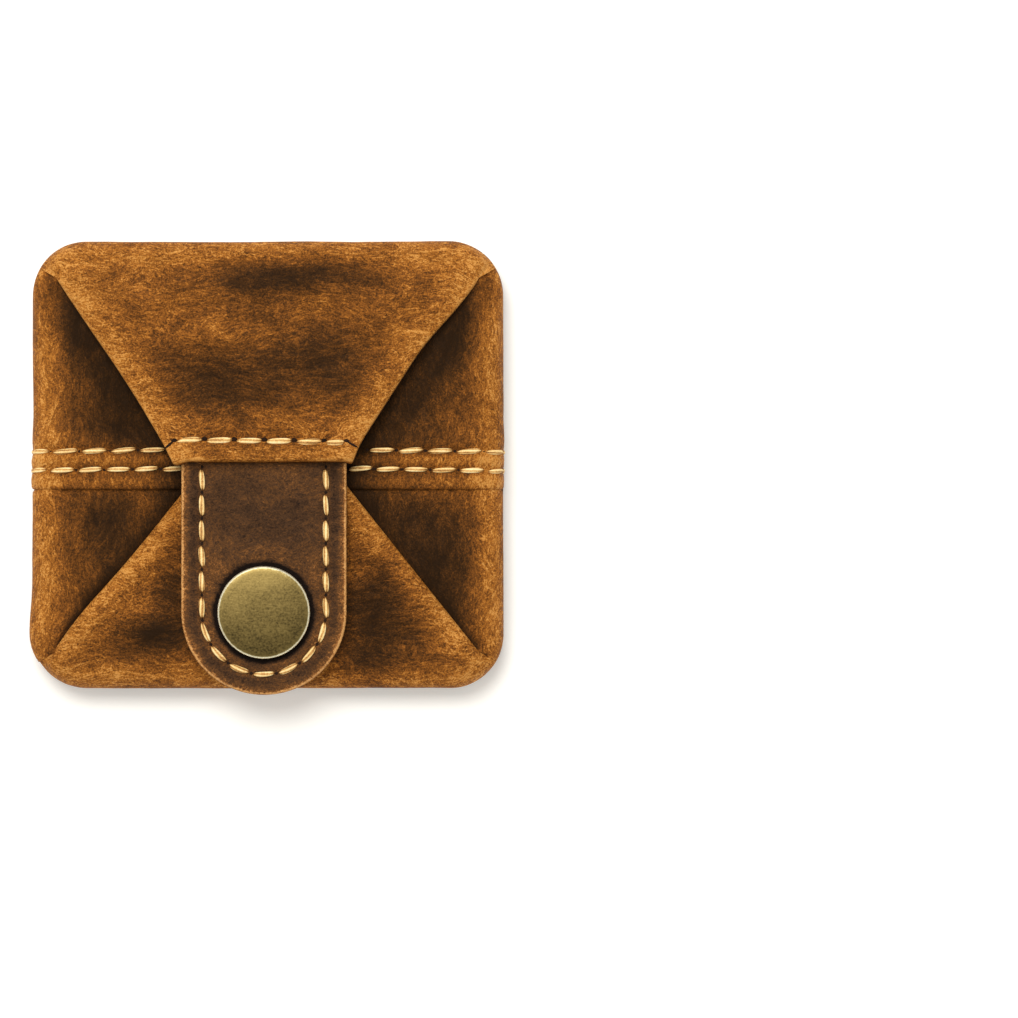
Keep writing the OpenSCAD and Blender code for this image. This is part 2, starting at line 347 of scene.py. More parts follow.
def panel_relief(side, points):
    """Height of the folds, seams and creases above the plain surface."""
    x, y, z = np.moveaxis(points, -1, 0)
    on_top = smooth(z, TOP - 3.4, TOP - 0.8)
    k = away_from_corner(x, y)
    front, back = from_folds(x, y)
    h = 0.42 * ripple(points, 15, 1) + 0.22 * ripple(points, 5.5, 2) + 0.08 * ripple(points, 2.4, 3)
    h = h * (0.3 + 0.7 * on_top) * (0.3 + 0.7 * smooth(z, 1.0, 4.0))
    if side == "front":
        e = np.maximum(front, 0)
        h += on_top * k * (0.55 * bump(e - 2.4, 1.9) - 0.25 * smooth(e, 4, 12))
        h += on_top * 0.3 * bump(np.abs(x) - 24 - 0.5 * (y + 30), 2.2) * bump(y + 29, 6)
        h -= on_top * roll(e, 0.85) * (0.25 + 0.75 * k)
    elif side == "back":
        e = np.maximum(back, 0)
        h += on_top * k * (0.5 * bump(e - 2.6, 2.0) - 0.3 * smooth(e, 5, 14) * smooth(y, 6, 12))
        h += 0.35 * bump(y - 30 + 0.004 * x**2, 2.6) * bump(x + 4, 22) * on_top
        # the hem is doubled, and its row of stitches pulls a groove along it
        h += 0.5 * (1 - smooth(y, HEM_STITCH_Y - 1.0, HEM_STITCH_Y + 0.2))
        h -= 0.45 * bump(y - HEM_STITCH_Y - 0.5, 0.75) * bump(x, 16)
        h -= on_top * roll(e, 0.6) * (0.2 + 0.8 * k)
        h -= roll(y - HEM_Y, 0.7) * 1.1
    else:
        e_front, e_back = np.maximum(-front, 0), np.maximum(-back, 0)
        sunk = 0.45 * bump(e_front, 3.4) + 0.45 * np.exp(-e_front / 0.9) + 0.9 * bump(e_back, 5.0)
        h -= on_top * k * sunk
        h += on_top * 0.35 * bump(e_back - 9, 4) * smooth(y, 4, 12)
        lapped = smooth(y, LAP_Y - 0.05, LAP_Y) * (1 - smooth(y, 4.6, 8.5))
        h += lapped * (0.12 + 0.43 * on_top)
        puff = 0.3 * bump(y - 0.6, 0.9) + 0.22 * bump(y + 2.6, 0.9) + 0.15 * bump(y - 4.0, 0.9)
        across = y - SEAM_SLOPE * inward(side, x, y)
        groove = 0.3 * sum(bump(across - row, 0.5) for row in SEAM_ROWS)
        h += (puff - groove) * (0.25 + 0.75 * on_top)
    if side == "left":
        h += (1 - on_top) * smooth(z, 1.0, 4.5) * (0.5 * bump(y + 28.5, 5) + 0.15 * bump(y + 1, 3))
    # creases that fan out where each diagonal fold starts
    dx, dy = np.abs(x) - CUT_START_X, np.abs(y) - CUT_START_Y
    d, turn = np.hypot(dx, dy), np.arctan2(dy, dx)
    fan = ripple(np.stack([turn * 3.2, d * 0.15, 5 * np.sign(x) + 9 * np.sign(y)], -1), 1.0, 5)
    h += 0.34 * fan * bump(d - 2.6, 2.2) * smooth(z, TOP - 2.4, TOP - 0.7)
    return h - hole_pull(points, HOLES[side], 0.35, 0.75)


def dark_spots(x, y, spots):
    dark = np.zeros(np.shape(x))
    for cx, cy, rx, ry, amount in spots:
        dark = dark + amount * np.exp(-(((x - cx) / rx) ** 2) - ((y - cy) / ry) ** 2)
    return dark


# Where the wax has stayed dark, and, for the front panel's spots beside the tab's sides, a painted shadow of
# the tab: centre, radii and strength
DARK = {
    "back": [(9, 33, 12, 3.2, 0.34), (-4, 31, 9, 3.5, 0.2), (2, 15, 13, 6.5, 0.3), (10, 19, 6, 4.5, 0.12),
             (-9, 11, 6, 4, 0.2), (-12, 17, 6, 3.5, 0.2)],
    "front": [(-18, -29, 8, 3.5, 0.38), (18, -26, 7, 9, 0.4), (-16, -20, 4, 6, 0.22),
              (21, -34, 10, 2.5, 0.15)],
    "left": [(-28, -11, 6.5, 7, 0.35), (-27, 16, 6, 12, 0.25), (-24, 6, 6, 4, 0.2)],
    "right": [(25, -13, 7, 9, 0.5), (24, 17, 6, 12, 0.42), (33, -15, 4, 8, 0.2), (33, 20, 4, 9, 0.15)],
}


def panel_tone(side, points):
    """0 where the hide is dark and waxy or lies in painted shade, 1 where folding has pulled its colour up or
    a painted highlight lines an edge.
    """
    x, y, z = np.moveaxis(points, -1, 0)
    k = away_from_corner(x, y)
    edge = np.minimum(HALF_W - np.abs(x), HALF_D - np.abs(y))
    front, back = from_folds(x, y)
    on_top = smooth(z, TOP - 3, TOP - 1)
    rounded = 0.22 * bump(np.maximum(edge, 0) - 2.0, 3.0)
    tone = 0.42 - dark_spots(x, y, DARK[side])
    if side == "front":
        e = np.maximum(front, 0)
        # the thin exp term right at the fold's edge is a painted highlight; the wider bump is colour pulled
        # up by the fold
        tone += np.maximum(rounded, 0.2 * on_top * bump(e - 1.2, 2.6)) + 0.14 * np.exp(-e / 0.4) * k * on_top
    elif side == "back":
        e = np.maximum(back, 0)
        # the thin exp term right at the flap's edge is a painted highlight; the wider bump is colour pulled
        # up by the fold
        tone += np.maximum(rounded, 0.22 * on_top * bump(e - 1.4, 3.2)) + 0.3 * np.exp(-e / 0.35) * k * on_top
        tone += 0.16 * (1 - smooth(y, 1.2, 4.5)) + 0.10 * bump(y - 7, 2.5)
    else:
        e_front, e_back = np.maximum(-front, 0), np.maximum(-back, 0)
        # painted shade: the flap's shadow along the back fold and the shade in the crease under the front
        # panel's edge
        painted_fold_shade = 0.37 * bump(e_back, 5) + 0.22 * bump(e_front, 3) + 0.35 * np.exp(-e_front / 0.7)
        tone += rounded - k * on_top * painted_fold_shade
        tone += 0.22 * bump(y - 0.9, 1.2) + 0.16 * bump(y + 2.9, 1.1)
    d = np.hypot(np.abs(x) - CUT_START_X + 2, np.abs(y) - CUT_START_Y + 2)
    tone += 0.05 * on_top * bump(d, 4)
    tone -= 0.25 * smooth(TOP - z, 5, 9)
    return np.clip(tone, 0, 1)


# -------- meshes

def spaced(length, step, fine_start=False, fine_end=False):
    """Fractions from 0 to 1 along a length, closer together at a rounded edge."""
    close, band = [0.08, 0.22, 0.42, 0.7, 1.05], 1.25
    inner = np.linspace(0, length, max(2, int(round(length / step)) + 1))
    extra = (close if fine_start else []) + ([length - c for c in close] if fine_end else [])
    keep = [v for v in inner
            if not (fine_start and 0 < v < band) and not (fine_end and length - band < v < length)]
    return np.array(sorted(keep + extra)) / length


def add_object(name, data):
    made = bpy.data.objects.new(name, data)
    bpy.context.scene.collection.objects.link(made)
    return made


def new_piece(name, verts, faces, material, tone=None):
    """A piece that keeps its resting places and its tone for the materials to read."""
    mesh = bpy.data.meshes.new(name)
    verts = np.asarray(verts, float)
    mesh.from_pydata((verts * MM).tolist(), [], faces)
    mesh.validate()
    rest = mesh.attributes.new("rest", "FLOAT_VECTOR", "POINT")
    rest.data.foreach_set("vector", verts.astype(np.float32).ravel())
    if tone is not None:
        stored = mesh.attributes.new("tone", "FLOAT", "POINT")
        stored.data.foreach_set("value", np.asarray(tone, np.float32).ravel())
    mesh.polygons.foreach_set("use_smooth", [True] * len(mesh.polygons))
    mesh.materials.append(material)
    return add_object(name, mesh)


def gather(shapes):
    """Joins shapes, each (vertices, faces, tones), into one."""
    verts, faces, tones = [], [], []
    for more, more_faces, more_tones in shapes:
        faces += [tuple(len(verts) + k for k in f) for f in more_faces]
        verts += more
        tones += more_tones
    return verts, faces, tones


def ring_faces(rings, around):
    """Faces of a closed tube of rings of points."""
    faces = []
    for i in range(rings - 1):
        for k in range(around):
            a, b = i * around + k, i * around + (k + 1) % around
            faces.append((a, b, b + around, a + around))
    return faces + [tuple(range(around))[::-1], tuple(range((rings - 1) * around, rings * around))]


def skin_faces(rows, cols):
    """Faces of two rows x cols grids of points back to back, outer skin first."""
    n = rows * cols
    faces = []
    for r in range(rows - 1):
        for c in range(cols - 1):
            a, b, d, e = r * cols + c, r * cols + c + 1, (r + 1) * cols + c + 1, (r + 1) * cols + c
            faces += [(a, b, d, e), (n + a, n + e, n + d, n + b)]
    return faces


def slab_faces(rows, cols, flip):
    """Faces of a closed slab whose two skins are rows x cols grids."""
    n = rows * cols
    border = [(0, c) for c in range(cols)] + [(r, cols - 1) for r in range(1, rows)]
    border += [(rows - 1, c) for c in range(cols - 2, -1, -1)] + [(r, 0) for r in range(rows - 2, 0, -1)]
    loop = [r * cols + c for r, c in border]
    faces = skin_faces(rows, cols) + [(a, n + a, n + b, b) for a, b in zip(loop, loop[1:] + loop[:1])]
    return [f[::-1] for f in faces] if flip else faces


def slab(name, outer, normal, thickness, material, tone, flip):
    """A sheet with thickness under an outer surface."""
    inner = outer - normal * thickness[..., None]
    verts = np.concatenate([outer.reshape(-1, 3), inner.reshape(-1, 3)])
    tones = np.concatenate([tone.ravel(), tone.ravel() * 0.8])
    return new_piece(name, verts, slab_faces(*outer.shape[:2], flip), material, tones)


def wall_grid(side, part="whole", step=0.5, low_z=0.9, fine=True):
    """Plain surface of one wall: up its outer face, over the shoulder and in to its rim.

    Returns points and outward normals as rows x columns x 3, and each row's distance to the rim."""
    start = LAP_Y if part == "rear_piece" else -half_length(side)
    length = (LAP_UNDER_Y if part == "front_piece" else half_length(side)) - start
    c = spaced(length, step, fine, fine)
    p = start + c * length
    u, a, nu, na = perimeter(side, p)
    su, sa = u + nu * SHOULDER, a + na * SHOULDER
    top = base_top(side, *to_plan(side, su, sa))
    rows, normals, to_rim = [], [], []

    def add_row(x, y, z, normal, distance):
        rows.append(np.stack([x, y, z], -1))
        normals.append(np.stack([axis + 0 * x for axis in normal], -1))
        to_rim.append(distance)
    nx, ny = heading(side, nu, na)
    for f in np.linspace(0, 1, 9)[:-1]:
        add_row(*to_plan(side, u, a), low_z + f * (top - SHOULDER - low_z), (-nx, -ny, 0), FAR)
    for alpha in np.linspace(0, pi / 2, 10):
        d = SHOULDER * (1 - cos(alpha))
        normal = (-nx * cos(alpha), -ny * cos(alpha), sin(alpha))
        add_row(*to_plan(side, u + nu * d, a + na * d), top - SHOULDER * (1 - sin(alpha)), normal, FAR)
    rim_a = {"front": HALF_D + FRONT_RIM_Y, "back": HALF_D - HEM_Y}.get(side, HALF_W - SIDE_TIP_X)
    start_a = CORNER_R - (CORNER_R - SHOULDER) * cos(SPLIT[side])
    depth = rim_a - start_a
    tilt = atan(FLAP_SLOPE) if side == "back" else 0
    for t in spaced(depth, step, False, fine)[1:]:
        row_a = start_a + t * depth
        low_u, high_u = row_ends(side, part, row_a, rim_a)
        straight = su[0] + c * (su[-1] - su[0]), sa[0] + c * (sa[-1] - sa[0])
        ru = low_u + c * (high_u - low_u) + (1 - t) ** 2 * (su - straight[0])
        ra = row_a + (1 - t) ** 2 * (sa - start_a)
        x, y = to_plan(side, ru, ra)
        add_row(x, y, base_top(side, x, y), (0, sin(tilt), cos(tilt)), rim_a - row_a)
    return np.array(rows), np.array(normals), np.array(to_rim)


def under_flap(a):
    """How far a side panel runs on beneath the raised edge of the flap, at distance a inside its wall."""
    return 4.2 * smooth(a, 5, 13) + 2.0 * smooth(a, 20, 26)


def row_ends(side, part, a, rim_a):
    """The two ends of a row at distance a inside a wall, along the diagonal folds."""
    if side == "front":
        return -float(front_cut_x(a - HALF_D, -1)), float(front_cut_x(a - HALF_D))
    if side == "back":
        left, right = (float(back_cut_x(HALF_D - a, x)) - float(roll(rim_a - a, 0.4)) for x in (-1, 1))
        return -left, right
    front_end = -CUT_START_Y + (CUT_START_X - HALF_W + a) * CUT["front"]
    back_end = CUT_START_Y - (CUT_START_X - HALF_W + a) * CUT["back"] + under_flap(a)
    if part == "front_piece":
        return front_end, max(LAP_UNDER_Y, front_end + 0.5)
    if part == "rear_piece":
        return max(LAP_Y, front_end), back_end
    return front_end, back_end


def blend_wall(piece):
    """Bakes the piece's placement into its mesh."""
    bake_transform(piece)


def settle(piece, nodes=(), body=None):
    """Hides the CAD nodes a piece stands for and, if it is stiff, attaches it to the body that carries it."""
    if nodes:
        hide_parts(*nodes)
    if body:
        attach(piece, body)
    return piece


def wall_hide(side, name, part, material, nodes):
    """The outer leather of a wall, or of one piece of it."""
    points, normals, to_rim = wall_grid(side, part)
    h = panel_relief(side, points)
    y = points[..., 1]
    if part == "front_piece":
        h -= 0.62 * smooth(y, LAP_Y - 0.6, LAP_Y + 0.3)
    if part == "rear_piece":
        h -= roll(y - LAP_Y, 0.55)
    tone = panel_tone(side, points)
    rim_thickness = RIM_T if side in LONG_SIDES else HIDE_T
    thickness = np.where(to_rim[:, None] < RIM_BAND, rim_thickness, HIDE_T) * np.ones(h.shape)
    if part != "whole":
        thickness -= 0.5 * bump(np.minimum(np.abs(y - 0.5), 20), 6)
    if side == "back":
        ear = smooth(np.abs(points[..., 0]), 13, 15.4) * (1 - smooth(y, HEM_Y, HEM_Y + 3.5))
        points[..., 1] -= 0.5 * ear
    outer = points + normals * h[..., None]
    piece = slab(name, outer, normals, thickness, material, tone, side in FLIPPED)
    blend_wall(settle(piece, nodes))


def wall_lining(side, name, material, nodes):
    """The leather inside a wall, which follows the outer one's folds from beneath."""
    points, normals, to_rim = wall_grid(side, "whole", 1.0, low_z=3.4, fine=False)
    rows = to_rim > RIM_BAND if side in LONG_SIDES else to_rim > 0.9
    points, normals = points[rows], normals[rows]
    h = panel_relief(side, points) - HIDE_T - 0.03
    if side in SHORT_SIDES:
        h = np.minimum(h, -HIDE_T + 0.1)
    outer = points + normals * h[..., None]
    piece = slab(name, outer, normals, np.full(h.shape, LINING_T), material, 0 * h + 0.4, side in FLIPPED)
    blend_wall(settle(piece, nodes))


# -------- gussets, made standing and laid in by their hinge

def fold_height(side, u, lining):
    """Height up a standing wall at which its gusset starts.

    It follows the diagonal folds, a little below them, and the outline in the round corners."""
    flat = HALF[side] - CORNER_R
    if side in LONG_SIDES:
        a = HALF_D - CUT_START_Y + CUT[side] * (CUT_START_X - np.abs(u))
        if side == "back":
            a = a - CUT["back"] * flap_hollow(HALF_D - a, u)
        overlap, corner = 1.2, CUT_START_X
    else:
        from_front = HALF_W - CUT_START_X + (u + CUT_START_Y) / CUT["front"]
        from_back = HALF_W - CUT_START_X + (CUT_START_Y - u) / CUT["back"]
        from_back = from_back + under_flap(from_back) / CUT["back"]
        a = np.minimum(np.minimum(from_front, from_back), HALF_W - SIDE_TIP_X - 0.3)
        overlap, corner = 1.8 if lining else 0, CUT_START_Y
    a = a - overlap * smooth(corner - np.abs(u), 0, 4)
    a = np.where(np.abs(u) > corner, arc_drop(np.abs(u) - flat) + CORNER_RISE, a)
    return HINGE_Z - HINGE_IN + a


def gusset_grid(side, start, end, depth_in, rim_gap, step, lining):
    """A standing gusset sheet, depth_in behind the wall's face, turned down into the shut purse."""
    p = start + spaced(end - start, step, True, True) * (end - start)
    u, a, nu, na = perimeter(side, p)
    low = fold_height(side, u, lining)
    usual_height, least_height = RIM_Z - 12, 0.15
    v = spaced(usual_height, step * 1.5, True, True)[:, None]
    z = low + v * np.maximum(RIM_Z - rim_gap - low, least_height)
    to_rim = RIM_Z - rim_gap - z
    past_corner = np.abs(p) > half_length(side) + 0.01
    a_out = a + GUSSET_IN + depth_in + CORNER_STEP * past_corner + 0 * z
    if rim_gap == 0:
        a_out = a_out + roll(to_rim, 0.6)
    laid_a = GUSSET_HINGE_IN + z - GUSSET_HINGE_Z
    laid_z = GUSSET_HINGE_Z - a_out + GUSSET_HINGE_IN
    x, y = to_plan(side, u + 0 * z, laid_a)
    nx, ny = heading(side, -nu, 0 * nu)
    return np.stack([x, y, laid_z], -1), np.stack([nx + 0 * z, ny + 0 * z, na + 0 * z], -1), to_rim


def gusset(side, name, body, material, nodes, lining):
    """Both triangles of a front or back wall, or the whole V of a side wall."""
    depth_in = GUSSET_HIDE_T + SKIN_GAP if lining else 0
    rim_gap = RIM_BAND if lining else 0
    step = 1.0 if lining else 0.8
    end = half_length(side)
    if side in LONG_SIDES:
        start = CUT_START_X - (FRONT_RIM_Y - rim_gap + CUT_START_Y) / CUT[side] - 0.6
        spans = [(start, end), (-end, -start)]
    else:
        spans = [(-end - CORNER_LAP, end + CORNER_LAP)]
    shapes = []
    for low, high in spans:
        points, normals, to_rim = gusset_grid(side, low, high, depth_in, rim_gap, step, lining)
        folded = np.where(to_rim < RIM_BAND, GUSSET_HIDE_T + RIM_FOLD_T, GUSSET_HIDE_T)
        thickness = 0 * to_rim + GUSSET_LINING_T if lining else folded
        inner = points - normals * thickness[..., None]
        shapes.append((points.reshape(-1, 3).tolist() + inner.reshape(-1, 3).tolist(),
                       slab_faces(*to_rim.shape, side in FLIPPED), [0.46] * (2 * to_rim.size)))
    verts, faces, tones = gather(shapes)
    settle(new_piece(name, verts, faces, material, tones), nodes, body)


# -------- base

def outline_loop(inset, z):
    """A rounded rectangle as a closed loop of points."""
    r, count = max(CORNER_R - inset, 0.4), 30
    cx, cy = HALF_W - inset - r, HALF_D - inset - r
    loop = []
    for i, (sx, sy) in enumerate([(1, 1), (-1, 1), (-1, -1), (1, -1)]):
        for k in range(count):
            angle = pi / 2 * (i + k / (count - 1))
            loop.append((sx * cx + r * cos(angle), sy * cy + r * sin(angle), z))
    return loop


def base_piece(name, section, material, tone):
    """A closed shell through the outline at each (distance pulled in, height) of a section."""
    loops = [outline_loop(inset, z) for inset, z in section]
    verts = [p for loop in loops for p in loop]
    return new_piece(name, verts, ring_faces(len(loops), len(loops[0])), material, [tone] * len(verts))


def make_base(hide, lining):
    sole = [(10, 0.0), (4, 0.0), (1.5, 0.0), (0.85, 0.08), (0.42, 0.27), (0.13, 0.56), (0.0, 0.92),
            (0.5, 1.0), (1.0, 1.15), (4, 1.2), (10, 1.2)]
    settle(base_piece("base_sole", sole, hide, 0.42), ["base_outer"], "root")
    # the liner turns up a low lip inside the walls
    liner = [(10, 1.22), (4, 1.22), (1.9, 1.3), (1.87, 4.0), (1.95, 4.1), (2.4, 4.0), (2.5, 2.9), (2.9, 2.2),
             (3.8, 1.92), (6, 1.9), (10, 1.9)]
    settle(base_piece("base_inside", liner, lining, 0.4), ["base_lining"], "root")


# -------- tab

def tab_height(y):
    """Top of the tab along its length: tucked under the hem, lifted by the snap, easing down at its tip."""
    lifted = TAB_TOP - 0.45 * smooth(y, -15, -2) - 0.9 * smooth(-y, 33, 39.5)
    under_hem = base_top("back", 0.0, np.maximum(y, HEM_Y)) - HIDE_T - LINING_T - 0.15
    limit = under_hem - 0.10 * np.maximum(y - HEM_Y, 0) + 0.15 * np.maximum(HEM_Y - 1.5 - y, 0)
    return np.minimum(lifted, limit)


def tab_loop(inset):
    """The tab's outline, pulled in by a distance, as an open U from the left end round to the right end."""
    r, step = TAB_HALF - inset, 0.55
    straight = np.linspace(TAB_BACK_Y, TAB_END_Y, int((TAB_BACK_Y - TAB_END_Y) / step))
    angles = np.linspace(pi, 2 * pi, 70)[1:-1]
    left = [(-r, y) for y in straight]
    end = [(r * cos(t), TAB_END_Y + r * sin(t)) for t in angles]
    right = [(r, y) for y in straight[::-1]]
    return np.array(left + end + right) + np.array([TAB_X, 0])


TAB_HOLES = holes_of(tab_row())


def tab_relief(points, inset):
    """The tab's rounded edge, the groove of its stitches and the dish round the snap."""
    h = 0.10 * ripple(points, 9, 11) + 0.05 * ripple(points, 3, 12)
    h -= roll(inset, 0.45)
    h += 0.12 * bump(inset - 1.6, 1.2)
    h -= 0.22 * bump(inset - TAB_INSET, 0.55)
    d = np.hypot(points[..., 0] - TAB_X, points[..., 1] - TAB_END_Y)
    h -= 0.3 * bump(d - CAP_EDGE, 1.2)
    return h - hole_pull(points, TAB_HOLES, 0.25, 0.6)


def tab_faces(rows, cols):
    """Faces of the U-shaped slab, left open along the middle line, where its two halves are welded."""
    n = rows * cols
    rim = [(r, 0) for r in range(rows - 1, 0, -1)] + [(0, c) for c in range(cols)]
    rim += [(r, cols - 1) for r in range(1, rows)]
    path = [r * cols + c for r, c in rim]
    return skin_faces(rows, cols) + [(a, n + a, n + b, b) for a, b in zip(path, path[1:])]


def weld(verts, faces, tone):
    """Joins vertices that share a place."""
    verts, tone = np.asarray(verts, float), np.asarray(tone, float)
    _, first, index = np.unique(np.round(verts, 4), axis=0, return_index=True, return_inverse=True)
    index = index.ravel()
    welded = []
    for f in faces:
        ring = [int(index[k]) for k in f]
        ring = [k for i, k in enumerate(ring) if k != ring[i - 1]]
        if len(ring) > 2 and len(set(ring)) == len(ring):
            welded.append(tuple(ring))
    return verts[first], welded, tone[first]


def tab_sheet(name, top_gap, thickness, edge_in, material, lining):
    """The tab's hide, or its lining, top_gap below the hide's top."""
    insets = [0, 0.06, 0.16, 0.3, 0.5, 0.8, 1.2, 1.7, 2.2, 2.6, 2.9, 3.2, 3.5, 3.8, 4.1, 4.5, 5.0, 5.6, 6.2]
    insets = np.array([i + edge_in for i in insets] + list(np.linspace(7.1, TAB_HALF, 11)))
    loops = [tab_loop(inset) for inset in insets]
    outer = np.array([np.column_stack([loop, tab_height(loop[:, 1]) - top_gap]) for loop in loops])
    inner = outer - UP * thickness
    inset = np.repeat(insets[:, None], outer.shape[1], 1)
    if lining:
        inner[..., 2] += roll(inset - edge_in, 0.3) + 0.05 * ripple(outer, 3, 14)
    else:
        outer[..., 2] += tab_relief(outer, inset)
        inner[..., 2] += roll(inset, 0.2)
    x, y = outer[..., 0] - TAB_X, outer[..., 1]
    from_snap = np.hypot(x, y - TAB_END_Y)
    tone = 0.36 + 0.62 * bump(inset - 0.2, 0.24) + 0.12 * bump(inset - 0.8, 0.5)
    tone = tone - 0.16 * bump(inset - 2.1, 0.8) - 0.14 * bump(y + 10, 8) * bump(x, 8)
    # the dark ring just outside the cap's edge is a painted contact shadow of the cap
    tone = tone + 0.08 * bump(from_snap - 10.5, 2) - 0.85 * bump(from_snap - CAP_EDGE, 0.5)
    verts = np.concatenate([outer.reshape(-1, 3), inner.reshape(-1, 3)])
    faces = tab_faces(*outer.shape[:2])
    verts, faces, tone = weld(verts, faces, np.concatenate([tone.ravel(), tone.ravel()]))
    piece = new_piece(name, verts, faces, material, tone)
    blend_tab(piece)
    return piece


def blend_tab(piece):
    """Bakes the piece's placement into its mesh."""
    x, y, z = joints["tab_lift"]["pos_m"]
    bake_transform(piece)


# -------- snap

def lathe(name, section, material, count=96, tone=None, painted_reflection=0.0):
    """A closed section of (radius, height) pairs turned round the snap's axis. The last argument lightens the
    tone along +Y: a painted reflection, lighter towards the top of the view and darker towards the bottom.
    """
    verts, faces, tones = [], [], []
    n = len(section)
    for k in range(count):
        angle = 2 * pi * k / count
        for i, (r, z) in enumerate(section):
            verts.append((TAB_X + r * cos(angle), TAB_END_Y + r * sin(angle), z))
            tones.append((tone[i] if tone else 0.5) + painted_reflection * r * sin(angle))
            here, ahead = k * n, (k + 1) % count * n
            faces.append((here + i, ahead + i, ahead + (i + 1) % n, here + (i + 1) % n))
    verts, faces, tones = weld(verts, faces, tones)
    return new_piece(name, verts, faces, material, tones)


def arc_points(centre_r, centre_z, radius, start, end, count):
    """Points of an arc in a section, between two angles in degrees."""
    return [(centre_r + radius * cos(t), centre_z + radius * sin(t))
            for t in np.radians(np.linspace(start, end, count))]


def make_cap(brass):
    (low_x, _, _), (high_x, _, high_z) = node_box("snap_cap")
    r, crown = (high_x - low_x) / 2, high_z - 0.1
    low = TAB_TOP - 0.35
    stem_r, stem_h = 1.8, 1.6
    rim, dome_h, dome_power, steps = 0.55, 0.45, 2.4, 14
    section = [(0, low - stem_h), (stem_r, low - stem_h), (stem_r, low)]
    section += [(r - 0.9, low), (r - 0.35, low + 0.1)]
    section += arc_points(r - rim, crown - dome_h - rim, rim, -25, 78, 9)
    edge_r, edge_z = section[-1]
    for i in range(steps - 1, -1, -1):
        section.append((edge_r * i / steps, crown - (crown - edge_z) * (i / steps) ** dome_power))
    # the tone peaks at the rounded rim, a painted highlight ring round the cap's edge; 0.012 below adds a
    # painted reflection, lighter along +Y
    tone = [0.2] * 5 + [0.5, 0.5, 0.6, 0.9, 1.4, 1.6, 1.5, 1.0, 0.5, 0.3, 0.25] + [0.3] * (steps - 2)
    settle(lathe("cap_shell", section, brass, 128, tone, 0.012), ["snap_cap"], "tab")


def make_snap(brass, steel):
    make_cap(brass)
    (low_x, _, low_z), (high_x, _, high_z) = node_box("snap_socket")
    outer_r, mouth_r, hole_r = (high_x - low_x) / 2, 4.3, 1.9
    lip_h, web_t = 0.75, 0.28
    half = (outer_r - mouth_r) / 2
    lip = arc_points((outer_r + mouth_r) / 2, 0, half, 0, -180, 13)
    ring = [(a, low_z + lip_h * (1 + b / half)) for a, b in lip]
    ring += [(mouth_r, high_z - web_t), (hole_r, high_z - web_t), (hole_r, high_z), (outer_r - 0.2, high_z)]
    settle(lathe("socket_ring", ring, steel), ["snap_socket"], "tab")
    for kept in ("snap_spring", "snap_rivet"):
        frame["nodes"][kept].data.materials.clear()
        frame["nodes"][kept].data.materials.append(steel)
    top = node_box("snap_stud")[1][2]
    foot_r, post_r = 5.0, 3.0
    stud = [(0, TOP - 0.5), (foot_r, TOP - 0.5)] + arc_points(foot_r - 0.2, TOP - 0.1, 0.2, 0, 90, 4)
    stud += [(post_r - 0.1, TOP + 0.1)] + arc_points(post_r - 0.35, top - 0.4, 0.35, -40, 90, 6)
    stud += arc_points(1.6, top - 0.5, 0.4, 60, 90, 2)[::-1] + [(0, top - 0.25)]
    settle(lathe("stud_button", stud, steel, 64), ["snap_stud"], "front_panel")


# -------- thread

def frame_along(direction, up):
    """Unit vectors along a direction, across it and up."""
    t = direction / np.linalg.norm(direction)
    side = np.cross(t, up)
    side /= np.linalg.norm(side)
    return t, side, np.cross(side, t)


def stitch(points, ups, radius, twist):
    """A short length of plied thread along a few points, with a tone of painted shade: darker between the
    plies and towards both ends.
    """
    rings, around, plies = len(points), 16, 4
    verts, tones = [], []
    for i, p in enumerate(points):
        ahead = points[min(i + 1, rings - 1)] - points[max(i - 1, 0)]
        _, side, up = frame_along(ahead, ups[i])
        f = i / (rings - 1)
        from_middle = abs(2 * f - 1)
        taper = sqrt(max(1 - from_middle ** 2.8, 0.05))
        for k in range(around):
            angle = 2 * pi * k / around
            ply = cos(plies * angle + twist + f * 3.2)
            r = radius * taper * (1 + 0.09 * ply)
            verts.append(p + side * r * cos(angle) + up * r * 0.8 * sin(angle))
            # painted shade: darker in the grooves between the plies and at the ends, where the thread dives
            # into its holes
            tones.append(0.5 + 0.3 * ply - 0.5 * from_middle ** 6)
    return verts, ring_faces(rings, around), tones


def stitch_row(row, surface, radius, gap, slant, seed):
    """Stitches from hole to hole along a path. Each dives a little at both ends."""
    path, marks = row
    shapes, lift, sunk = [], 0.32, 0.06
    rng = np.random.default_rng(seed)
    for a, b in zip(marks, marks[1:]):
        skew = slant + rng.normal(0, 0.05)
        points, ups = [], []
        for f in np.linspace(gap / (b - a), 1 - gap / (b - a), 13):
            base, n = path(a + (b - a) * f)
            ahead = path(a + (b - a) * f + 0.05)[0] - base
            _, side, _ = frame_along(ahead, n)
            arch = 1 - (2 * f - 1) ** 4
            points.append(base + n * (surface(base, n) + lift * arch - sunk) + side * skew * (2 * f - 1))
            ups.append(n)
        shapes.append(stitch(points, ups, radius * rng.uniform(0.94, 1.06), rng.uniform(0, 6)))
    return gather(shapes)


